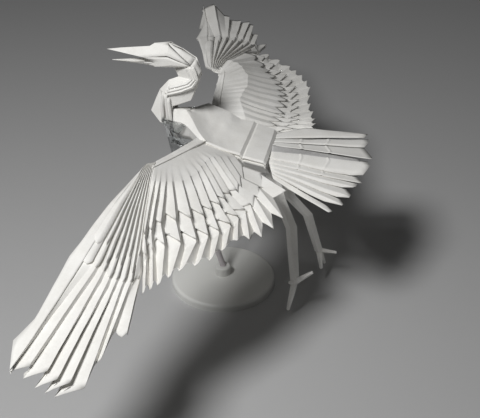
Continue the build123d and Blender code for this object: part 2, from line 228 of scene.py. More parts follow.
# Leading panel: its width in feathers and its lift along it, and its columns as parts of the width
PANEL_WIDTH = {FRONT: 0.8, ROOT: 0.66, TIER_A: 0.62, TIER_B: 0.66, BEND: 0.85, TIPS: 1.04}
PANEL_LIFT = {FRONT: 1.0, ROOT: 1.0, TIER_A: 1.2, TIER_B: 1.0, TIPS: 0.4}
PANEL_COLUMNS = (0, 0.3, 0.6, 0.85, 1)

# Covert strips over the crests of the hand: the stations where the lower and the upper one of each
# feather end, and the (width, lift) of each kind
COVERT_ENDS = [
    (3.74, 2.85), (3.46, 2.8), (3.2, 2.95), (3.35, 2.85),
    (3.3, 2.9), (3.4, 2.8), (3.25, 2.95), (4.06, 3.2),
]
COVERT_START = 0.3
LOWER_COVERT = (0.72, 0.9)
UPPER_COVERT = (0.42, 1.8)

# Across, a strip is a roof of (part of its width before the crest, part of its lift), with an edge over
# the riser. Over a longer or a shorter stretch at its end, both sides are narrowed by these parts.
COVERT_ROOF = ((1, 0.6), (1 / 2, 0.9), (0, 1))
COVERT_EDGE_LIFT = 0.5
COVERT_OVER_RISER = 0.32
COVERT_NARROWED = 0.85
COVERT_EDGE_NARROWED = 0.7
LONG_TAPER = 0.5
SHORT_TAPER = 0.08

# Where a strip or the panel goes on past its crest, it drops by this much
OVERHANG_DROP = 0.2

# Rolled hem of the front edge, from the wrist to the body: (part of the way to the crease, height) of
# its columns. Its front part is wavy.
HEM_SHAPE = ((0.1, -4.0), (-0.08, -2.8), (0.05, -1.8), (0.35, -0.5), (0.7, 0.5), (0.93, 1.0), (1.0, 0.1))
HEM_FROM = 7
HEM_ROWS = 44
HEM_LIFT = 1
HEM_WAVY_TO = 0.1
HEM_WAVE = 0.9
HEM_WAVE_LENGTH = 4.5

# Inner layers at the ends of the long feathers: which feathers, how far below the crest's end, the
# middle and the tip they lie, and how far they stand out to the side and short of the tip
UNDER_TIP_FEATHERS = range(1, 6)
UNDER_CREST = 2.6
UNDER_MIDDLE = 2
UNDER_TIP = 0.8
UNDER_SIDE = 3
SHORT_OF_TIP = (5, 0.5)

# The far wing is the mirror image of the near one with two turns of its own: at the shoulder and, for
# the hand, at the wrist. The turn of the hand gets less from feather to feather, and ends on the arm.
# The wing's root and tips are also shifted, by feather, and its tiers lie further out.
SHOULDER = Vector((-10, 26, 138))
WRIST = Vector((-28, 86, 149))
FAR_ARM_AXIS = Vector((-4, -6.4, -9.4))
FAR_ARM_TURN = 12.0
FAR_ARM_SHIFT = Vector((-2, -1, 0))
FAR_HAND_AXIS = Vector((14, -6.7, 18.6))
FAR_HAND_TURN = 24.0
FAR_HAND_SHIFT = Vector((-5, -3, -4.5))
FAR_HAND_FAN = 0.38
FAR_TURN_END = 10.5
FAR_ROOT_SHIFT = {0: (0, 0, 0), 16.5: (0, 0, 0), 22: (0, 5, -6.5)}
FAR_TIER_A_OUT = 0.6
FAR_TIER_B_OUT = 0.35
FAR_TIP_SHIFT = {
    0: (6, -3, -7), 1: (-2, 3, 6), 2: (-2, 6, 10), 2.5: (0, 0, 1), 3.5: (3, -2, -3),
    5: (0, -1, -2), 5.5: (-7, -2, -1), 7: (-4, -4, -4), 8: (-4, -4, -5), 9.4: (-5, -1.5, -0.6),
    10.4: (-3, 0.6, 2), 12.4: (4, 0.8, -0.3), 22: (2, -2, -3),
}

# Tail fan: (valley, crest) heights of each feather over the plain sheet, from the far edge to the near
# one. The fourth is a narrow strip along the middle.
TAIL_PLEATS = [
    (0, 1.0), (0, 1.4), (0, 2.0), (0.2, 1.9), (1.8, 2.4),
    (1.0, 2.0), (0.5, 2.0), (0.5, 2.0), (0.5, 2.0), (-1.5, 0.3),
]
TAIL_FEATHERS = len(TAIL_PLEATS)
TAIL_STRIP = 3
TAIL_FACE = 0.96
TAIL_COLUMNS = (0, 0.25, 0.5, 0.75, 1)
TAIL_ROWS = 16

# Each feather is tucked under the one before it. Those past the strip also reach over the start of the
# next, less and less in their last third. Heights are scaled by the pitch, and grow from the root
# over the bend to the tips.
TAIL_UNDER = 0.16
TAIL_TUCK = 0.7
TAIL_OVER = 0.25
TAIL_OVER_TO = 1 / 3
TAIL_PITCH = 0.8
TAIL_BEND = 0.38
TAIL_RISE = {0: 0.3, TAIL_BEND: 0.7, 1: 1}

# Cross creases that stand out a little on some of the feathers
TAIL_CREASED = (1, 2, 4, 5)
TAIL_CREASES = (0.33, 0.6)
CREASE_HEIGHT = 0.45
CREASE_REACH = 0.02

# Corners of the plain tail sheet where it bends, and its root line as {feather number: point}
TAIL_FAR_BEND = (56, 34, 123)
TAIL_NEAR_BEND = (57.5, -41, 113.5)
TAIL_ROOT = {
    0: (31, 15, 124), 3: (34, 0, 124.5), 5: (37, -14, 122.5),
    6: (38, -19, 121.5), 9: (42, -29, 119), 10: (44, -34, 117.5),
}

# Ends of the tail feathers: (valley corner, point, crest corner), and the near edge of the fan
TAIL_TIPS = [
    ((96.7, 45.6, 117), (100.5, 44, 117.4), (98.5, 38, 117)),
    ((101.6, 34.6, 118), (102.8, 30.6, 118), (100.3, 20.8, 118)),
    ((101.2, 18.7, 119), (107.6, 5.6, 119), (107.4, 2.2, 119)),
    ((99.8, 3.2, 117.5), (101, 0.6, 118), (100.4, -2.2, 119)),
    ((105.1, -2.9, 118.5), (107.4, -5.9, 118), (103.6, -16.5, 116)),
    ((100, -17.5, 115), (103.7, -24.5, 115), (101, -25.1, 115)),
    ((100.6, -25.6, 115), (100.4, -29.5, 115), (98.5, -32.3, 115)),
    ((94.4, -33, 114), (98.1, -39.7, 114), (97.4, -44.3, 114)),
    ((91.9, -45, 113), (94.4, -50.5, 113), (93.5, -53.1, 113)),
    ((84, -51, 112), (87.8, -57, 112), (85.6, -59.6, 112)),
]
TAIL_NEAR_EDGE = (83, -59.5, 112)

# Middle strip of the tail: its rows from near the root to near the tip, its columns as parts of the
# feather's width, and how high it lies
STRIP_ROWS = 24
STRIP_START = 0.02
STRIP_LENGTH = 0.96
STRIP_COLUMNS = (-0.06, 0.2, 0.5, 0.86, 1.02)
STRIP_FACE = 0.86
STRIP_INSIDE = 0.99
STRIP_LIFT = 0.4

# Layers under the fan: the upper edge of the far one and the step to its lower edge, and the gathered
# one by the root as pairs of points across it
TAIL_FAR_LAYER = [(46, 27, 122.4), (60, 36, 120.8), (76, 40.5, 118.6), (84, 42.5, 117.8)]
TAIL_FAR_LAYER_STEP = Vector((1, -7, 0.6))
TAIL_GATHERS = [
    ((45, -33, 117), (50, -22, 119)),
    ((55, -39, 114), (58, -28, 117.4)),
    ((59.8, -40.6, 112.6), (61.6, -37, 113.6)),
]

# Back of the body in rows from the neck to the tail, each from the near edge over the spine, in its
# middle, to the far edge. The root of the neck is given in the same way.
BACK = [
    ((-25.3, -2, 147.4), (-24, -1, 147), (-22.6, 0, 146), (-22.3, 4, 145.6), (-22.3, 8, 144.8)),
    ((-19.6, -8, 143.8), (-17.5, -4, 142.2), (-15.7, 0, 141.1), (-15, 11, 142.5), (-14.8, 22, 142.3)),
    ((-13.1, -16, 139), (-9.5, -8, 136.2), (-9.6, 0, 136.9), (-7.5, 11, 139), (-5.3, 22, 139.6)),
    ((-5.4, -25, 136.9), (-4, -13, 134.2), (-3.2, 0, 134.2), (-1.5, 11, 136), (1, 22, 136.6)),
    ((1, -25, 134.5), (2.5, -13, 133.1), (4.4, 0, 133.2), (5, 11, 133.7), (5.1, 22, 134)),
    ((9.9, -25, 131.6), (11, -13, 131.6), (12, 0, 132.2), (11, 11, 131.9), (9.9, 22, 131.4)),
    ((18.6, -25, 129.8), (19, -13, 130.7), (19.4, 0, 131.2), (19.2, 11, 130.9), (19, 22, 131)),
    ((20.6, -25, 127.7), (21, -13, 128.7), (21.4, 0, 129.2), (21.3, 11, 129), (21.2, 22, 129.1)),
    ((22, -25, 128.2), (22.2, -13, 129.1), (22.6, 0, 129.5), (22.5, 11, 129.3), (22.4, 22, 129.4)),
    ((35.4, -25, 125.9), (35.4, -13, 126.7), (35.2, 0, 127), (35, 11, 126.6), (34.6, 22, 126)),
    ((37.2, -25, 124), (37.2, -13, 124.6), (36.9, 0, 124.8), (36.7, 11, 124.4), (36.4, 22, 123.8)),
]
NEAR_EDGE, SPINE, FAR_EDGE = 0, 2, 4
NECK_ROOT = ((-34, -4, 148.2), (-29.6, 1, 147.6), (-26, 4, 146.8))

# Hood: the rows of the back that it covers, and the lower edge of its near side. From there, and from
# its far edge, the paper goes on down.
HOOD_ROWS = 4
HOOD_LOWER = ((-32.7, -10, 140.2), (-20.9, -14, 140.5), (-14.7, -19, 137.8), (-9.3, -24, 136))
HOOD_LOWER_STEP = (1, -12)
HOOD_DRAWN_IN = 0.75
HOOD_FAR_STEP = Vector((0, 1.5, -9))

# Hems along both edges of the back, as (sideways, up) from the edge of the near side. Under them the
# sides go down to the keel, whose height is given by its place along the body.
SIDES_FROM = 3
UPPER_HEM = [(0, 0), (-0.9, -1.1), (-0.2, -2.0), (2.6, -2.6)]
LOWER_HEM = [(1.2, -2.9), (-1.0, -3.2), (-0.8, -4.2), (2.5, -5.4)]
SIDE_DRAWN_IN = 1.5
SIDE_TOP = -5.0
KEEL_WIDTH = 9.0
KEEL = {-33: 122, -20: 112, 0: 106, 38: 107}

# End of the body under the tail: how far back its lip and its lower edge lie, the parts of the width
# that they keep, the drop of the lip and the height of the edge
END_LIP_BACK = 0.6
END_LIP_WIDTH = 0.96
END_LIP_DROP = 2.5
END_BACK = 1.6
END_WIDTH = 0.8
END_HEIGHT = 112

# Legs as (points from the top down, half widths at them), and toes as their root and tip
LEG_THICKNESS = 2.0
NEAR_LEG = ([(36, -8, 114), (45, -10, 86), (55, -17, 68.5), (61.5, -33, 31)], [5, 4.2, 4.2, 3.2])
FAR_LEG = ([(40, 8, 114), (49.5, 8, 79), (63, 10, 63.5), (72, 15, 29)], [5, 4, 3.6, 3])
NEAR_TOES = [
    [(61, -33, 32), (73.6, -30, 40.6)],
    [(61, -33, 31), (57.3, -36, 8.3)],
    [(62, -33, 31), (57, -34, 32)],
]
FAR_TOES = [
    [(71, 15, 29.5), (85.3, 17, 27.7)],
    [(72, 15, 30), (75, 12, 15)],
    [(72, 15, 30), (76.4, 19, 15.5)],
]
TOE_ROOT = 2.4
TOE_TIP = 1.1

# Head and neck, seen from the near side. The far side is its mirror image.
BEAK_TIP = (-81.4, 0, 188.2)
BEAK_BASE = (-50.3, 0, 192.9)
BROW = (-46.6, 0, 195.6)
CROWN = (-37.1, 0, 196.7)
CROWN_NOTCH = (-35.6, -3.6, 196)
NAPE = (-17.4, -1, 187)
CHEEK_FRONT = (-53.4, -4.5, 185.9)
CHEEK_MIDDLE = (-36.2, -7, 189.8)
CHEEK_BACK = (-20, -6.4, 183.6)
JAW_FRONT = (-46.2, -4, 179.6)
JAW_BACK = (-20.8, -5, 182)
JAW_MIDDLE = (-31.6, -4.5, 181)
LOWER_TIP = (-78.4, 0, 180.4)
MOUTH = (-54, -3.5, 182)
LOWER_BASE = (-52, -2, 179.6)
CHEEK_TOP = (-28, -4.2, 190.4)
CHEEK_LOWER = (-34, -5.6, 182.6)
CHEEK_UNDER = (-36.2, -6, 188.4)
CHEEK_CORNER = (-20.6, -5.6, 183.2)
CREST_FRONT = (-34.4, -2.6, 195.4)
CREST_BACK = (-26.4, -1.2, 192.6)
NAPE_SIDE = (-20.4, -5, 183.9)
JAW_TOP = (-46, -4.4, 182.6)
JAW_KEEL = ((-32.8, 0, 178.6), (-45, 0, 179))

# Neck: its back and its throat from the head down, its side between them, and the fold behind it
NECK_BACK = ((-13.8, 0, 178.7), (-14.2, 0, 174), (-17.1, 0, 165.5), (-22.1, -1, 154.7), (-33.4, 0, 149))
THROAT = ((-32.8, 0, 178), (-30.3, 0, 172), (-37.6, 0, 168.7), (-44.3, 0, 160.7), (-51.6, 0, 143.6))
NECK_SIDE = ((-20.4, -6, 183), (-16.4, -6, 173.2), (-38, -6.6, 160.6), (-35.4, -7.4, 139))
NECK_FOLD = ((-37.4, -5.8, 159.6), (-16.6, -3.2, 168), (-21.2, -3, 156), (-34, -5.4, 151.4))
NECK_FOOT = (-44.2, -3, 136.3)
NECK_FOOT_FRONT = (-37, 0, 138)
NECK_FOOT_SIDE = (-34, -6, 141)
NECK_FOOT_BACK = (-33, 0, 140)

# Narrow folds along the neck: those round its upper bend, and those down its front, each a roof of
# (half width, height)
UPPER_RIBBONS = [
    [
        (-22.5, -5.6, 182), (-20.8, -6, 178.1), (-19.3, -6.2, 173.6),
        (-22.8, -6.4, 170.3), (-29.4, -6.6, 167.9), (-36.1, -6.4, 165.4),
    ],
    [
        (-20.7, -5.4, 182.4), (-19, -5.8, 178.3), (-17.4, -6, 173.5),
        (-21.1, -6.2, 169), (-28.3, -6.5, 165.9), (-37.1, -6.5, 162.6),
    ],
    [
        (-19.2, -5, 182.3), (-17.3, -5.2, 178.4), (-15.9, -5.2, 173),
        (-19.3, -5.8, 167.7), (-27.1, -6.2, 163.9), (-37.8, -6.5, 160.3),
    ],
]
UPPER_ROOF = (1.25, 0.9)
LOWER_RIBBONS = [
    [(-39.5, -7, 162.4), (-41.1, -7, 151.9), (-40.8, -6.6, 140.1)],
    [(-38.3, -7.2, 161.2), (-37.6, -7.6, 151), (-36.8, -8, 139)],
    [(-36.6, -7, 158.4), (-35.5, -7.6, 148.8), (-34.4, -8, 138.4)],
]
LOWER_ROOF = (1.1, 0.8)


def blend(first, second, share):
    """Mix of two numbers, or of two points."""
    if isinstance(first, (int, float)):
        return first * (1 - share) + second * share
    return Vector(first) * (1 - share) + Vector(second) * share


def between(line, number):
    """Value at any number of a line that is given as {number: value}."""
    stops = sorted(line)
    for low, high in zip(stops, stops[1:]):
        if number <= high:
            share = max(0, (number - low) / (high - low))
            return blend(line[low], line[high], share)
    return blend(line[stops[-1]], line[stops[-1]], 0)


def held(share):
    """Share held between 0 and 1."""
    return min(1, max(0, share))


def mirrored(points):
    """The same outline on the crane's other side, run the other way so that it faces outwards."""
    return [Vector((x, -y, z)) for x, y, z in reversed([tuple(point) for point in points])]


def pulled_back(point, origin, distance):
    """Point pulled back towards an origin by a distance."""
    return point + (origin - point).normalized() * distance


def limits():
    """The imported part's box in millimetres, less room for the paper's thickness."""
    low, high = (Vector(corner) / MM for corner in loaded_bounds)
    return low + Vector((ROOM, ROOM, 0)), high - Vector((ROOM, ROOM, ROOM))


LOW, HIGH = limits()


def uneven(point):
    """The point as hand-folded paper lies, a little off its line."""
    point = Vector(point)
    shift = noise.noise_vector(point / RIPPLE_LENGTH) * RIPPLE
    shift += noise.noise_vector(point / DENT_LENGTH) * DENT
    moved = point + shift
    return Vector(min(max(moved[k], LOW[k]), HIGH[k]) for k in range(3))


class Folds:
    """Facets of folded paper, gathered into one piece."""

    def __init__(self):
        self.points = []
        self.faces = []

    def grid(self, rows):
        """A sheet through rows of points."""
        start, width = len(self.points), len(rows[0])
        for row in rows:
            self.points += [Vector(point) for point in row]
        for r in range(len(rows) - 1):
            for k in range(width - 1):
                a = start + r * width + k
                self.faces.append((a, a + 1, a + 1 + width, a + width))

    def facet(self, *points):
        """One flat facet."""
        start = len(self.points)
        self.points += [Vector(point) for point in points]
        self.faces.append(tuple(range(start, start + len(points))))

    def both_sides(self, *points):
        """One facet on the near side and one on the far side."""
        self.facet(*points)
        self.facet(*mirrored(points))

    def piece(self, name, finish, cuts=0, crease=CREASE_ANGLE):
        """The facets as an object with the thickness of paper, laid as unevenly as by hand."""
        mesh = bpy.data.meshes.new(name)
        mesh.from_pydata([tuple(point) for point in self.points], [], self.faces)
        shape = bmesh.new()
        shape.from_mesh(mesh)
        bmesh.ops.remove_doubles(shape, verts=shape.verts, dist=HAIR)
        if cuts:
            bmesh.ops.triangulate(shape, faces=shape.faces)
            bmesh.ops.subdivide_edges(shape, edges=shape.edges, cuts=cuts, use_grid_fill=True)
        for vertex in shape.verts:
            vertex.co = uneven(vertex.co) * MM
        shape.to_mesh(mesh)
        shape.free()
        mesh.shade_smooth()
        mesh.set_sharp_from_angle(angle=math.radians(crease))
        made = bpy.data.objects.new(name, mesh)
        scene.collection.objects.link(made)
        layer = made.modifiers.new("paper", "SOLIDIFY")
        layer.thickness = PAPER_THICKNESS * MM
        layer.offset = 0
        mesh.materials.append(finish)
        return made


def stations(ends, steps):
    """Stations along a sheet, with as many rows in each stretch as are given."""
    rows = []
    for first, last, count in zip(ends, ends[1:], steps):
        rows += [first + (last - first) * k / count for k in range(count)]
    return rows + [ends[-1]]


def further_out(line, following, share):
    """Line moved towards the following one on the arm, and left as it is on the hand."""
    moved = {}
    for stop in sorted({**line, **following}):
        on_arm = held(stop - HAND_FEATHERS)
        moved[stop] = blend(between(line, stop), between(following, stop), share * on_arm)
    return moved


def edge_bulge(number, low, share):
    """How far the leading edge stands off the straight line between two stations."""
    bends = {
        ROOT: (WING_ROOT, WING_TIER_A, OPENED, WING_EDGE_WRIST),
        TIER_B: (WING_TIER_B, WING_TIPS, BEND, WING_EDGE_BEND),
    }
    if number >= 1 or low not in bends:
        return Vector((0, 0, 0))
    first, last, station, bend = bends[low]
    at = station - low
    off = Vector(bend) - blend(first[0], last[0], at)
    return off * min(share / at, (1 - share) / (1 - at)) * (1 - number)


def turned(point, centre, axis, angle):
    """Point turned about an axis through a centre."""
    return Matrix.Rotation(math.radians(angle), 3, axis) @ (point - centre) + centre


def hand_hold(number):
    """How far a feather follows the turn of the far hand: less further in, and not on the arm."""
    on_hand = 1 - FAR_HAND_FAN * min(1, number / HAND_FEATHERS)
    return on_hand * held((FAR_TURN_END - number) / (FAR_TURN_END - HAND_FEATHERS))


def far_side(point, number, reach):
    """Place on the far wing of a point of the near one. Reach grows from 0 to 1 at the tips."""
    hold = hand_hold(number)
    point = Vector((point.x, -point.y, point.z))
    point = turned(point, WRIST, FAR_HAND_AXIS, FAR_HAND_TURN * hold) + FAR_HAND_SHIFT * hold
    point = turned(point, SHOULDER, FAR_ARM_AXIS, FAR_ARM_TURN) + FAR_ARM_SHIFT
    point += between(FAR_ROOT_SHIFT, number) * (1 - reach)
    return point + between(FAR_TIP_SHIFT, number) * reach


class Wing:
    """One wing in its sheets and strips of paper, which lie over each other."""

    def __init__(self, far):
        self.far = far
        self.folds = Folds()
        tier_a = further_out(WING_TIER_A, WING_TIER_B, FAR_TIER_A_OUT if far else 0)
        tier_b = further_out(WING_TIER_B, WING_TIPS, FAR_TIER_B_OUT if far else 0)
        lines = (WING_FRONT, WING_CREASE, WING_ROOT, tier_a, tier_b, WING_TIPS)
        self.lines = dict(zip((FRONT, CREASE, ROOT, TIER_A, TIER_B, TIPS), lines))

    def flat(self, number, station):
        """Point at the foot of the pleats, which sink in behind the plain cover of the arm."""
        stops = sorted(self.lines)
        for low, high in zip(stops, stops[1:]):
            if station <= high:
                share = (station - low) / (high - low)
                start, end = (between(self.lines[line], number) for line in (low, high))
                point = blend(start, end, share)
                sink = between(ARM_SINK, station) if number >= HAND_FEATHERS else 0
                return point + edge_bulge(number, low, share) + UP * sink
        return between(WING_TIPS, number)

    def rise(self, feather, station):
        """Height of a feather's crest over its valley."""
        if feather < HAND_FEATHERS:
            return PLEAT_RISE * between(HAND_HEIGHT, station) * (PANEL_RISE if feather == 0 else 1)
        if self.far:
            return PLEAT_RISE * between(FAR_ARM_HEIGHT, station) * FAR_PLEATS
        fade = blend(between(FADE, feather), 1, held(station - TIER_B))
        return PLEAT_RISE * between(ARM_HEIGHT, station) * fade

    def crest_end(self, feather):
        """Where the crest of a feather ends."""
        if feather < HAND_FEATHERS:
            return Vector(HAND_CRESTS[feather])
        number = feather + (FAR_TIP_FACE if self.far else between(ARM_TIP_FACE, feather))
        cut = FAR_TIP_CUT if self.far else between(ARM_TIP_CUT, feather)
        end = pulled_back(between(WING_TIPS, number), between(self.lines[TIER_B], number), cut)
        return end + UP * self.rise(feather, TIPS)

    def crest(self, feather, station):
        """Point on the crest of a feather."""
        if station <= TIER_B:
            return self.flat(feather + LIT_FACE, station) + UP * self.rise(feather, station)
        start = self.flat(feather + LIT_FACE, TIER_B) + UP * self.rise(feather, TIER_B)
        return blend(start, self.crest_end(feather), (station - TIER_B) / (TIPS - TIER_B))

    def on_pleat(self, feather, number, station):
        """Point on a pleat: the lit face up to its crest, and then the riser to the next valley."""
        valley, crest = self.flat(feather, station), self.crest(feather, station)
        across = (number - feather) / LIT_FACE
        if across <= 1:
            bulge = math.sin(math.pi * across) * BELLY * self.rise(feather, station)
            return blend(valley, crest, across) + UP * bulge
        following = self.flat(min(feather + 1, WING_FEATHERS), station)
        if feather + 1 == HAND_FEATHERS and station > TIER_B:
            following = self.flat(HAND_END, station)
        return blend(crest, following, (number - feather - LIT_FACE) / (1 - LIT_FACE))

    def put(self, number, point, station):
        """Place of a point on this wing."""
        return far_side(point, number, max(0, station - TIER_B)) if self.far else point

    def laid(self, number, point, station, lifts):
        """Place of a sheet's point, lifted off the sheets below."""
        lift = between(lifts, station) * between(LAYERS_APART, number)
        return self.put(number, point + UP * lift, station)

    def sheet(self, ends, steps, lifts, feathers, slant=0):
        """A pleated sheet over some feathers, from its first station to its last. A slant cuts it
        back in the valleys; a sheet that runs to the tips has the shapes of the feathers' ends."""
        rows = []
        for station in stations(ends, steps):
            row = []
            share = max(0, (station - ends[-2]) / (ends[-1] - ends[-2]))
            for feather in feathers:
                for column, part in enumerate(PLEAT_COLUMNS):
                    number = feather + part
                    point = self.on_pleat(feather, number, station)
                    start = self.on_pleat(feather, number, ends[-2])
                    cut = self.end_cut(feather, column, ends[-1], slant) * share
                    if cut:
                        most = MOST_CUT_BACK * (point - start).length * share
                        point = pulled_back(point, start, min(cut, most))
                    row.append(self.laid(number, point, station, lifts))
            last = feathers[-1] + 1
            last = HAND_END if last == HAND_FEATHERS else last
            row.append(self.laid(last, self.flat(last, station), station, lifts))
            rows.append(row)
        self.folds.grid(rows)

    def end_cut(self, feather, column, end, slant):
        """How far the end of a sheet is cut back at one column of a feather."""
        if end == TIPS:
            if feather == HAND_FEATHERS - 1 and not self.far:
                return BLADE_SHAPE[column]
            if feather < HAND_FEATHERS:
                return HAND_TIP_SHAPE[column]
            inner = 0 if self.far else held((feather - INNER_TIPS_FROM) / INNER_TIPS_OVER)
            return blend(ARM_TIP_SHAPE[column], INNER_TIP_SHAPE[column], inner)
        return slant * TIER_END_SHAPE[column] * (1 if self.far else between(SLANT_SHARE, feather))

    def overhang(self, number, crest, station):
        """Step from a crest to a number beyond it, for paper that goes on over the riser."""
        beside = self.flat(number, station) - self.flat(crest, station)
        return Vector((beside.x, beside.y, -OVERHANG_DROP))

    def leading_panel(self):
        """The first feather, a broad panel that lies over the next one."""
        rows = []
        for station in stations([FRONT, ROOT, TIER_A, TIER_B, TIPS], [3, 8, 2, 14]):
            lift = between(PANEL_LIFT, station)
            row = []
            for part in PANEL_COLUMNS:
                number = part * between(PANEL_WIDTH, station)
                point = self.on_pleat(0, min(number, LIT_FACE), station)
                if number > LIT_FACE:
                    point += self.overhang(number, LIT_FACE, station) * (1 - max(0, station - TIER_B))
                row.append(self.put(number, point + UP * lift, station))
            rows.append(row)
        self.folds.grid(rows)

    def covert_strip(self, feather, end, width, lift):
        """Narrow folded strip along the crest of a long feather, drawn in at its end."""
        rows = []
        crest = feather + LIT_FACE
        taper = LONG_TAPER if end > TIER_A else SHORT_TAPER
        for station in stations([COVERT_START, end - taper, end], [16, 4]):
            share = max(0, (station - end + taper) / taper)
            narrow = width * (1 - COVERT_NARROWED * share)
            beyond = COVERT_OVER_RISER * (1 - COVERT_EDGE_NARROWED * share)
            across = [(crest - narrow * part, high) for part, high in COVERT_ROOF]
            row = []
            for number, high in across + [(crest + beyond, COVERT_EDGE_LIFT)]:
                inside = min(max(0, number), crest)
                point = self.on_pleat(int(inside), inside, station)
                if number > crest:
                    point += self.overhang(number, crest, station)
                row.append(self.put(inside, point + UP * lift * high, station))
            rows.append(row)
        self.folds.grid(rows)

    def front_hem(self):
        """Rolled hem along the front edge, from the wrist to the body."""
        rows = []
        for k in range(HEM_ROWS + 1):
            number = HEM_FROM + (WING_FEATHERS - HEM_FROM) * k / HEM_ROWS
            here = self.flat(number, FRONT)
            crease = self.flat(number, CREASE)
            wave = noise.noise(here / HEM_WAVE_LENGTH) * HEM_WAVE
            row = []
            for along, high in HEM_SHAPE:
                point = blend(here, crease, along) + UP * (high + HEM_LIFT)
                if along < HEM_WAVY_TO:
                    point += (here - crease).normalized() * wave
                row.append(self.put(number, point, FRONT))
            rows.append(row)
        self.folds.grid(rows)

    def under_tips(self):
        """Inner layers that show at the ends of the long feathers."""
        for feather in UNDER_TIP_FEATHERS:
            corner = self.crest_end(feather - 1) - UP * UNDER_CREST
            tip = between(WING_TIPS, feather)
            side = (between(WING_TIPS, feather - 1) - corner).normalized()
            run = (tip - self.flat(feather, TIER_B)).normalized()
            points = [
                corner,
                corner + side * UNDER_SIDE - UP * UNDER_MIDDLE,
                tip + side - run * SHORT_OF_TIP[0] - UP * UNDER_MIDDLE,
                tip - run * SHORT_OF_TIP[1] - UP * UNDER_TIP,
            ]
            self.folds.facet(*[self.put(feather, point, TIPS) for point in points])

    def made(self, name):
        """The finished wing: cover, middle and lower tier of the arm, the hand, and its strips."""
        hand, arm = range(HAND_FEATHERS), range(HAND_FEATHERS, WING_FEATHERS)
        over = 2 * TIER_STEP
        cover = {FRONT: 0.5, CREASE: 1.4, ROOT: over, TIER_A: over + TIER_LIP}
        middle = {ROOT: TIER_STEP, TIER_A: TIER_STEP, TIER_B: TIER_STEP + TIER_LIP}
        lowest = {ROOT: 0, TIPS: 0}
        cover_ends = [FRONT, CREASE, ROOT, START, OPENED, TIER_A]
        self.sheet(cover_ends, [2, 4, 1, 3, 8], cover, arm, TIER_A_SLANT)
        self.sheet([ROOT, TIER_A, TIER_B], [4, 8], middle, arm, TIER_B_SLANT)
        self.sheet([ROOT, TIER_A, TIER_B, TIPS], [8, 4, 14], lowest, arm)
        self.sheet([FRONT, ROOT, TIER_A, TIER_B, TIPS], [4, 8, 4, 14], lowest, hand)
        self.leading_panel()
        self.front_hem()
        self.under_tips()
        for feather, (lower, upper) in enumerate(COVERT_ENDS):
            self.covert_strip(feather, lower, *LOWER_COVERT)
            self.covert_strip(feather, upper, *UPPER_COVERT)
        return self.folds.piece(name, paper)


def tail_point(number, along):
    """Point of the plain tail sheet. Along runs from 0 at the root to 1 at the tips."""
    feather = min(int(number), TAIL_FEATHERS - 1)
    part = (number - feather) / TAIL_FACE
    ends = [Vector(point) for point in TAIL_TIPS[feather]]
    following = TAIL_NEAR_EDGE if feather + 1 == TAIL_FEATHERS else TAIL_TIPS[feather + 1][0]
    if part <= 0.5:
        tip = blend(ends[0], ends[1], part * 2)
    elif part <= 1:
        tip = blend(ends[1], ends[2], part * 2 - 1)
    else:
        tip = blend(ends[2], following, (number - feather - TAIL_FACE) / (1 - TAIL_FACE))
    root = between(TAIL_ROOT, number)
    bend = blend(root, tip, TAIL_BEND)
    far_edge = (0, TAIL_FAR_BEND, TAIL_TIPS[0][0])
    near_edge = (TAIL_FEATHERS, TAIL_NEAR_BEND, TAIL_NEAR_EDGE)
    for edge, corner, edge_tip in (far_edge, near_edge):
        straight = blend(TAIL_ROOT[edge], edge_tip, TAIL_BEND)
        bend += (Vector(corner) - straight) * max(0, 1 - abs(number - edge))
    if along <= TAIL_BEND:
        return blend(root, bend, along / TAIL_BEND)
    return blend(bend, tip, (along - TAIL_BEND) / (1 - TAIL_BEND))


def tail_height(feather, part, along):
    """Height over the plain sheet of a point across a tail feather."""
    valley, crest = TAIL_PLEATS[feather]
    height = blend(valley, crest, min(1, part / TAIL_FACE)) * TAIL_PITCH * between(TAIL_RISE, along)
    if feather in TAIL_CREASED:
        nearness = [max(0, 1 - abs(along - crease) / CREASE_REACH) for crease in TAIL_CREASES]
        height += sum(CREASE_HEIGHT * near for near in nearness)
    return height


def tail_fan():
    """Tail: a fan of broad flat feathers, each tucked under the one before it."""
    folds = Folds()
    creased = {crease + d for crease in TAIL_CREASES for d in (-CREASE_REACH, 0, CREASE_REACH)}
    for feather in range(TAIL_FEATHERS):
        if feather == TAIL_STRIP:
            continue
        reaches_over = TAIL_STRIP < feather < TAIL_FEATHERS - 1
        rows = []
        for along in sorted({k / TAIL_ROWS for k in range(TAIL_ROWS + 1)} | creased):
            under = tail_point(feather, along)
            far = under - (tail_point(feather + TAIL_FACE, along) - under) * TAIL_UNDER
            row = [far + UP * (tail_height(feather, 0, along) - TAIL_TUCK)]
            over = TAIL_OVER * min(1, (1 - along) / TAIL_OVER_TO) if reaches_over else 0
            for share in TAIL_COLUMNS:
                part = share * (TAIL_FACE + over)
                row.append(tail_point(feather + part, along) + UP * tail_height(feather, part, along))
            rows.append(row)
        folds.grid(rows)
    return folds.piece("tail_fan", paper)


def tail_strip():
    """Narrow strip along the middle of the tail, in a darker copy of the paper with a stronger bump: the
    darker colour is painted shade.
    """
    folds = Folds()
    rows = []
    for k in range(STRIP_ROWS + 1):
        along = STRIP_START + STRIP_LENGTH * k / STRIP_ROWS
        across = tail_point(TAIL_STRIP + STRIP_FACE, along) - tail_point(TAIL_STRIP, along)
        height = tail_height(TAIL_STRIP, 0.5, along) + STRIP_LIFT
        row = []
        for part in STRIP_COLUMNS:
            inside = min(max(part, 0), STRIP_INSIDE)
            point = tail_point(TAIL_STRIP + inside, along) + across * (part - inside)
            row.append(point + UP * height)
        rows.append(row)
    folds.grid(rows)
    return folds.piece("tail_strip", shade_painted_paper)


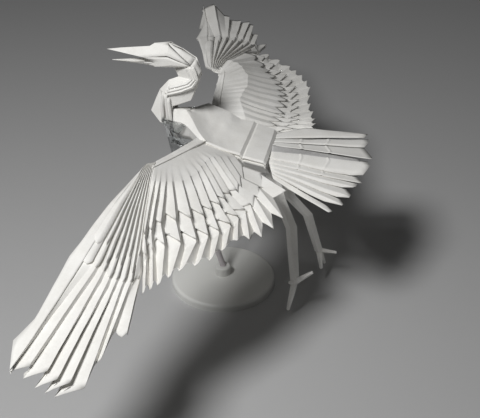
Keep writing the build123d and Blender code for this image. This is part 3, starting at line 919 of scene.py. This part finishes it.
def tail_layers():
    """Layers under the fan: along its far edge, and the short gathered ones by its root."""
    folds = Folds()
    folds.grid([TAIL_FAR_LAYER, [Vector(point) + TAIL_FAR_LAYER_STEP for point in TAIL_FAR_LAYER]])
    folds.grid([[first, blend(first, last, 0.5), last] for first, last in TAIL_GATHERS])
    return folds.piece("tail_layers", paper)


def body():
    """Folded body: hood and saddle of the back, hems along its edges, and the sides below."""
    folds = Folds()
    folds.grid(BACK)
    ridge = [row[NEAR_EDGE] for row in BACK[:HOOD_ROWS]]
    folds.facet(NECK_ROOT[0], ridge[0], HOOD_LOWER[0])
    for k in range(HOOD_ROWS - 1):
        folds.facet(ridge[k], ridge[k + 1], HOOD_LOWER[k + 1], HOOD_LOWER[k])
    folds.facet(NECK_ROOT[0], NECK_ROOT[1], BACK[0][SPINE], ridge[0])
    folds.facet(NECK_ROOT[1], NECK_ROOT[2], BACK[0][FAR_EDGE], BACK[0][SPINE])
    far = [NECK_ROOT[2]] + [row[FAR_EDGE] for row in BACK[:HOOD_ROWS]]
    folds.grid([far, [Vector(point) + HOOD_FAR_STEP for point in far]])
    back, down = HOOD_LOWER_STEP
    folds.grid([HOOD_LOWER, [(x + back, y * HOOD_DRAWN_IN, z + down) for x, y, z in HOOD_LOWER]])
    for edge, side in ((NEAR_EDGE, 1), (FAR_EDGE, -1)):
        line = [Vector(row[edge]) for row in BACK[SIDES_FROM:]]
        for hem in (UPPER_HEM, LOWER_HEM):
            folds.grid([[point + Vector((0, y * side, z)) for y, z in hem] for point in line])
        wall = []
        for x, y, z in line:
            top = (x, y + SIDE_DRAWN_IN * side, z + SIDE_TOP)
            wall.append([top, (x, -KEEL_WIDTH * side, between(KEEL, x))])
        folds.grid(wall)
    end = BACK[-1]
    lip = [(x - END_LIP_BACK, y * END_LIP_WIDTH, z - END_LIP_DROP) for x, y, z in end]
    folds.grid([end, lip, [(x - END_BACK, y * END_WIDTH, END_HEIGHT) for x, y, z in end]])
    return folds.piece("body", paper, cuts=2, crease=SOFT_CREASE)


def ribbon(folds, path, half_width, height):
    """Narrow roof-shaped fold along a path on both sides of the neck."""
    points = [Vector(point) for point in path]
    rows = []
    for index, here in enumerate(points):
        run = points[min(index + 1, len(points) - 1)] - points[max(index - 1, 0)]
        across = run.cross(Vector((0, 1, 0))).normalized() * half_width
        rows.append([here - across, here + Vector((0, -height, 0)), here + across])
    folds.grid(rows)
    folds.grid([mirrored(row) for row in rows])


def head_and_neck():
    """Head with its open beak and cheek flaps, and the neck folded in an S."""
    folds = Folds()
    side = folds.both_sides
    side(BEAK_TIP, BEAK_BASE, CHEEK_FRONT)
    folds.facet(BEAK_TIP, CHEEK_FRONT, *mirrored([CHEEK_FRONT]))
    side(BEAK_BASE, BROW, CHEEK_MIDDLE, CHEEK_FRONT)
    side(BROW, CROWN, CROWN_NOTCH, CHEEK_MIDDLE)
    side(CROWN_NOTCH, CHEEK_BACK, CHEEK_MIDDLE)
    side(CROWN, CREST_BACK, CHEEK_TOP, CREST_FRONT)
    side(CREST_BACK, NAPE, NAPE_SIDE, CHEEK_TOP)
    side(LOWER_TIP, MOUTH, LOWER_BASE)
    folds.facet(LOWER_TIP, MOUTH, *mirrored([MOUTH]))
    side(MOUTH, JAW_TOP, JAW_FRONT, LOWER_BASE)
    side(CHEEK_FRONT, CHEEK_UNDER, CHEEK_LOWER, JAW_TOP)
    side(CHEEK_UNDER, CHEEK_CORNER, JAW_BACK, CHEEK_LOWER)
    side(JAW_TOP, CHEEK_LOWER, JAW_BACK, JAW_MIDDLE, JAW_FRONT)
    side(JAW_FRONT, JAW_MIDDLE, *JAW_KEEL)
    side(NAPE, NECK_BACK[0], NECK_SIDE[0])
    side(NECK_BACK[0], NECK_BACK[1], NECK_SIDE[1], NECK_SIDE[0])
    side(NECK_BACK[1], NECK_BACK[2], NECK_FOLD[1], NECK_SIDE[1])
    side(NECK_SIDE[0], NECK_SIDE[1], THROAT[1], THROAT[0])
    side(NECK_SIDE[1], NECK_SIDE[2], THROAT[2], THROAT[1])
    side(NECK_SIDE[1], NECK_FOLD[1], NECK_FOLD[0], NECK_SIDE[2])
    side(THROAT[2], NECK_SIDE[2], THROAT[3])
    side(NECK_BACK[2], NECK_BACK[3], NECK_FOLD[2], NECK_FOLD[1])
    side(*NECK_FOLD)
    side(NECK_BACK[3], NECK_BACK[4], NECK_FOLD[3], NECK_FOLD[2])
    side(THROAT[3], NECK_SIDE[2], NECK_SIDE[3], NECK_FOOT)
    side(THROAT[3], NECK_FOOT, THROAT[4])
    side(NECK_SIDE[2], NECK_FOLD[0], NECK_FOLD[3], NECK_FOOT_SIDE, NECK_SIDE[3])
    side(THROAT[4], NECK_FOOT, NECK_FOOT_FRONT)
    side(NECK_FOOT, NECK_SIDE[3], NECK_FOOT_SIDE, NECK_FOOT_BACK, NECK_FOOT_FRONT)
    for path in UPPER_RIBBONS:
        ribbon(folds, path, *UPPER_ROOF)
    for path in LOWER_RIBBONS:
        ribbon(folds, path, *LOWER_ROOF)
    return folds.piece("head_and_neck", paper, cuts=2)


def limb(folds, points, half_widths, thickness):
    """Flat folded strip along a chain of points."""
    chain = [Vector(point) for point in points]
    rings = []
    for index, here in enumerate(chain):
        before, after = chain[max(index - 1, 0)], chain[min(index + 1, len(chain) - 1)]
        run = (after - before).normalized()
        across = run.cross(Vector((0, 1, 0))).normalized() * half_widths[index]
        through = run.cross(across).normalized() * thickness
        ring = [here + across, here + through, here - across, here - through]
        rings.append(ring + ring[:1])
    folds.grid(rings)
    folds.facet(*rings[-1][:4])


def leg(name, shin, toes):
    """One leg with its toes, each a narrow folded strip."""
    folds = Folds()
    limb(folds, *shin, LEG_THICKNESS)
    for toe in toes:
        limb(folds, toe, [TOE_ROOT, TOE_TIP], TOE_TIP)
    return folds.piece(name, paper, cuts=1)


class Value:
    """A number of a finish. Sums and products of values draw their own Math nodes."""

    def __init__(self, tree, socket):
        self.tree = tree
        self.socket = socket

    def worked(self, operation, *terms):
        """Value that a Math node makes of the terms."""
        node = self.tree.nodes.new("ShaderNodeMath")
        node.operation = operation
        for socket, term in zip(node.inputs, terms):
            if isinstance(term, Value):
                self.tree.links.new(term.socket, socket)
            else:
                socket.default_value = term
        return Value(self.tree, node.outputs[0])

    def __add__(self, other):
        return self.worked("ADD", self, other)

    def __mul__(self, other):
        return self.worked("MULTIPLY", self, other)

    __radd__ = __add__
    __rmul__ = __mul__


# Numbers of the sockets of Blender's place node, and of its mix node where it mixes colours
OBJECT_PLACE = 3
MIX_SHARE, MIX_FIRST, MIX_SECOND, MIXED = 0, 6, 7, 2


class Finish:
    """A material with its shader and the nodes that vary it."""

    def __init__(self, name, color, roughness):
        self.material = bpy.data.materials.new(name)
        self.material.use_nodes = True
        self.tree = self.material.node_tree
        self.shader = self.tree.nodes["Principled BSDF"].inputs
        self.shader["Base Color"].default_value = (*color, 1)
        self.shader["Roughness"].default_value = roughness

    def node(self, kind, settings=(), sockets=(), output=0):
        """Value from any other node, by its kind, its settings and what goes into its sockets."""
        node = self.tree.nodes.new("ShaderNode" + kind)
        for name, value in dict(settings).items():
            setattr(node, name, value)
        for name, value in dict(sockets).items():
            if isinstance(value, Value):
                self.tree.links.new(value.socket, node.inputs[name])
            else:
                node.inputs[name].default_value = value
        return Value(self.tree, node.outputs[output])

    def feed(self, socket, value):
        """Let a value vary the shader's socket."""
        self.tree.links.new(value.socket, self.shader[socket])

    def place(self):
        """Place on the object, in metres."""
        return self.node("TexCoord", output=OBJECT_PLACE)

    def mix(self, share, first, second):
        """Mix of two colours."""
        colors = {MIX_SHARE: share, MIX_FIRST: (*first, 1), MIX_SECOND: (*second, 1)}
        return self.node("Mix", {"data_type": "RGBA"}, colors, MIXED)

    def stretched(self, value, low, high):
        """Value stretched so that it runs from 0 at low to 1 at high."""
        return self.node("MapRange", {"clamp": True}, {0: value, 1: low, 2: high, 3: 0.0, 4: 1.0})


def paper_finish(name, shade, light, rough):
    """Matt handmade paper: cloudy, with fibres and faint creases from folding, the crease lines sunk in
    the bump and drawn a little darker in colour as painted shade.
    """
    finish = Finish(name, light, 0.85)
    place = finish.place()
    cloud = finish.node("TexNoise", {}, {"Vector": place, "Scale": 70, "Detail": 5, "Roughness": 0.6})
    fibre = finish.node("TexNoise", {}, {"Vector": place, "Scale": 800, "Detail": 4, "Roughness": 0.65})
    folds = finish.node("TexVoronoi", {"feature": "DISTANCE_TO_EDGE"}, {"Vector": place, "Scale": 60})
    crease = finish.stretched(folds, 0.0, 0.03)
    mottle = cloud * 0.65 + fibre * 0.35
    spread = finish.stretched(mottle, 0.36, 0.64)
    # Along the crease lines the colour moves a little towards the darker tone: painted shade in the
    # folds.
    finish.feed("Base Color", finish.mix(spread * 0.9 + crease * 0.1, shade, light))
    height = cloud * 0.5 + fibre * 0.4 + crease * 0.12
    bump = finish.node("Bump", {}, {"Height": height, "Strength": rough, "Distance": 0.0004})
    finish.feed("Normal", bump)
    return finish.material


def plastic_finish(name, color, roughness):
    """Satin moulded plastic with a faint grain."""
    finish = Finish(name, color, roughness)
    place = finish.place()
    grain = finish.node("TexNoise", {}, {"Vector": place, "Scale": 1500, "Detail": 2})
    cloud = finish.node("TexNoise", {}, {"Vector": place, "Scale": 60, "Detail": 3})
    worn = tuple(channel * 0.93 for channel in color)
    finish.feed("Base Color", finish.mix(cloud, worn, color))
    finish.feed("Roughness", cloud * 0.12 + (roughness - 0.06))
    bump = finish.node("Bump", {}, {"Height": grain, "Strength": 0.12, "Distance": 0.0001})
    finish.feed("Normal", bump)
    return finish.material


def clear_finish():
    """Clear glossy plastic with slight flow marks from moulding."""
    finish = Finish("clear_plastic", (0.86, 0.88, 0.88), 0.06)
    finish.shader["Transmission Weight"].default_value = 1.0
    finish.shader["IOR"].default_value = 1.47
    place = finish.place()
    flow = finish.node("TexNoise", {}, {"Vector": place, "Scale": 140, "Detail": 2})
    finish.feed("Roughness", flow * 0.08 + 0.02)
    bump = finish.node("Bump", {}, {"Height": flow, "Strength": 0.35, "Distance": 0.0008})
    finish.feed("Normal", bump)
    return finish.material


paper = paper_finish("white_paper", (0.8, 0.785, 0.745), (0.9, 0.89, 0.86), 0.3)
# Same white paper as the rest, with both tones darkened: painted shade for the tail's middle strip,
# whose face turns away from the lamp.
shade_painted_paper = paper_finish("shade_painted_paper", (0.36, 0.355, 0.35), (0.58, 0.575, 0.565), 0.6)
white_plastic = plastic_finish("stand_plastic", (0.78, 0.78, 0.75), 0.5)
rod_plastic = plastic_finish("rod_plastic", (0.62, 0.58, 0.59), 0.4)
clear_plastic = clear_finish()

pieces = [
    Wing(False).made("near_wing"),
    Wing(True).made("far_wing"),
    tail_fan(),
    tail_strip(),
    tail_layers(),
    body(),
    head_and_neck(),
    leg("near_leg", NEAR_LEG, NEAR_TOES),
    leg("far_leg", FAR_LEG, FAR_TOES),
]
for piece in pieces:
    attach(piece, "root")
    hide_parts("folded_crane")

# Pieces of the stand, carried over from the CAD model: finish, and the angle of a sharp edge
STAND = (
    ("stand_rod", rod_plastic, 40),
    ("stand_base", white_plastic, 40),
    ("stand_holder", clear_plastic, 12),
)
for node, finish, sharp in STAND:
    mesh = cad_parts[node].data
    mesh.materials.clear()
    mesh.materials.append(finish)
    mesh.shade_smooth()
    mesh.set_sharp_from_angle(angle=math.radians(sharp))

FLOOR_REACH = 6
floor_finish = Finish("pale_floor", (0.5, 0.5, 0.5), 0.9)
floor_mesh = bpy.data.meshes.new("floor")
corners = [(x * FLOOR_REACH, y * FLOOR_REACH, 0) for x, y in ((-1, -1), (1, -1), (1, 1), (-1, 1))]
floor_mesh.from_pydata(corners, [], [(0, 1, 2, 3)])
floor_mesh.materials.append(floor_finish.material)
floor = bpy.data.objects.new("floor", floor_mesh)
scene.collection.objects.link(floor)


LIT_PLACE = Vector((0, 0, 0.12))


def soft_light(name, towards, distance, size, power):
    """Round soft lamp that shines on the crane's middle from a direction."""
    lamp = bpy.data.lights.new(name, "AREA")
    lamp.shape = "DISK"
    lamp.size = size
    lamp.energy = power
    holder = bpy.data.objects.new(name, lamp)
    scene.collection.objects.link(holder)
    direction = Vector(towards).normalized()
    holder.location = LIT_PLACE + direction * distance
    holder.rotation_euler = direction.to_track_quat("Z", "Y").to_euler()


soft_light("key", (-0.28, -0.78, 1.0), distance=0.85, size=0.24, power=5.9)
world = bpy.data.worlds.new("studio")
world.use_nodes = True
world.node_tree.nodes["Background"].inputs["Color"].default_value = (1, 1, 1, 1)
world.node_tree.nodes["Background"].inputs["Strength"].default_value = 0.045
scene.world = world
scene.view_settings.view_transform = "Standard"

# The camera stands where the stand's ellipse in the photo puts it
camera = bpy.data.objects.new("camera", bpy.data.cameras.new("camera"))
camera.data.lens = 75
camera.data.sensor_width = 36
camera.location = (0.1444, -0.6163, 0.4666)
camera.rotation_euler = (math.radians(57.7), 0, math.radians(12))
scene.collection.objects.link(camera)
scene.camera = camera
